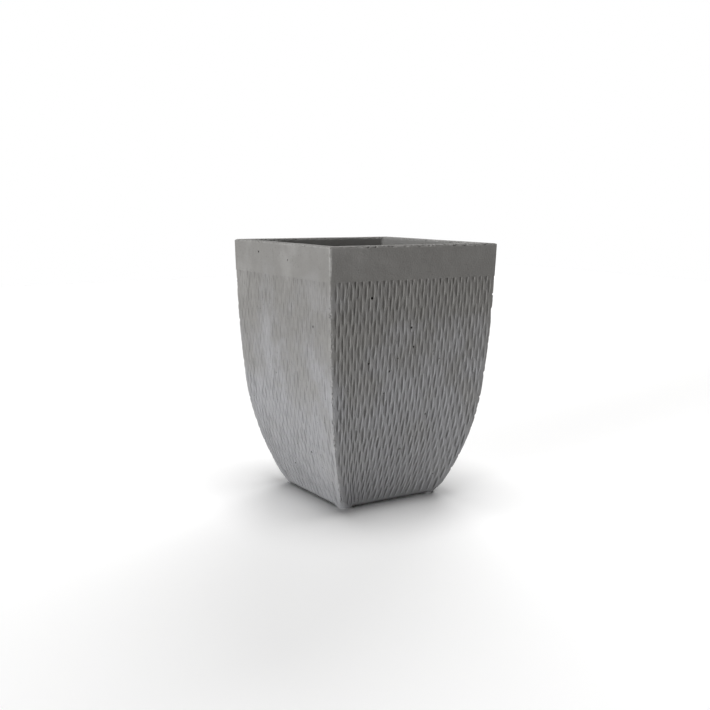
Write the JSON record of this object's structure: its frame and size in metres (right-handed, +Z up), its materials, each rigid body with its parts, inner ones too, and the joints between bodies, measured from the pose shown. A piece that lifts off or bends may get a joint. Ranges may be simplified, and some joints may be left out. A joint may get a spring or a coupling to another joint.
{
  "type": "planter box",
  "caption": "Square cast-concrete planter that tapers to its foot, with a plain rim band over gouged walls, a floor drain with a pull-out plug and a cast-in wire cage.",
  "frame": {"origin": "middle of the footprint, on the ground plane that the four corner feet touch", "axes": "+Z up towards the rim; the four walls face along +X, -X, +Y and -Y"},
  "size_m": [0.4498, 0.4498, 0.6],
  "materials": {
    "concrete": "matt, fine-pored cast concrete",
    "sleeve_plastic": "matt",
    "plug_rubber": "matt",
    "cage_steel": "plain drawn wire with light rust"
  },
  "bodies": {
    "planter": {"shell": "concrete", "drain_sleeve": "sleeve_plastic", "bar_x1": "cage_steel", "bar_x2": "cage_steel", "bar_y1": "cage_steel", "bar_y2": "cage_steel", "hoop_foot": "cage_steel", "hoop_lower": "cage_steel", "hoop_middle": "cage_steel", "hoop_upper": "cage_steel", "hoop_rim": "cage_steel"},
    "plug": {"drain_plug": "plug_rubber"}
  },
  "joints": [
    {"name": "plug_lift", "type": "slide", "parent": "planter", "child": "plug", "axis": [0, 0, 1], "range_m": [0, 0.64]}
  ]
}
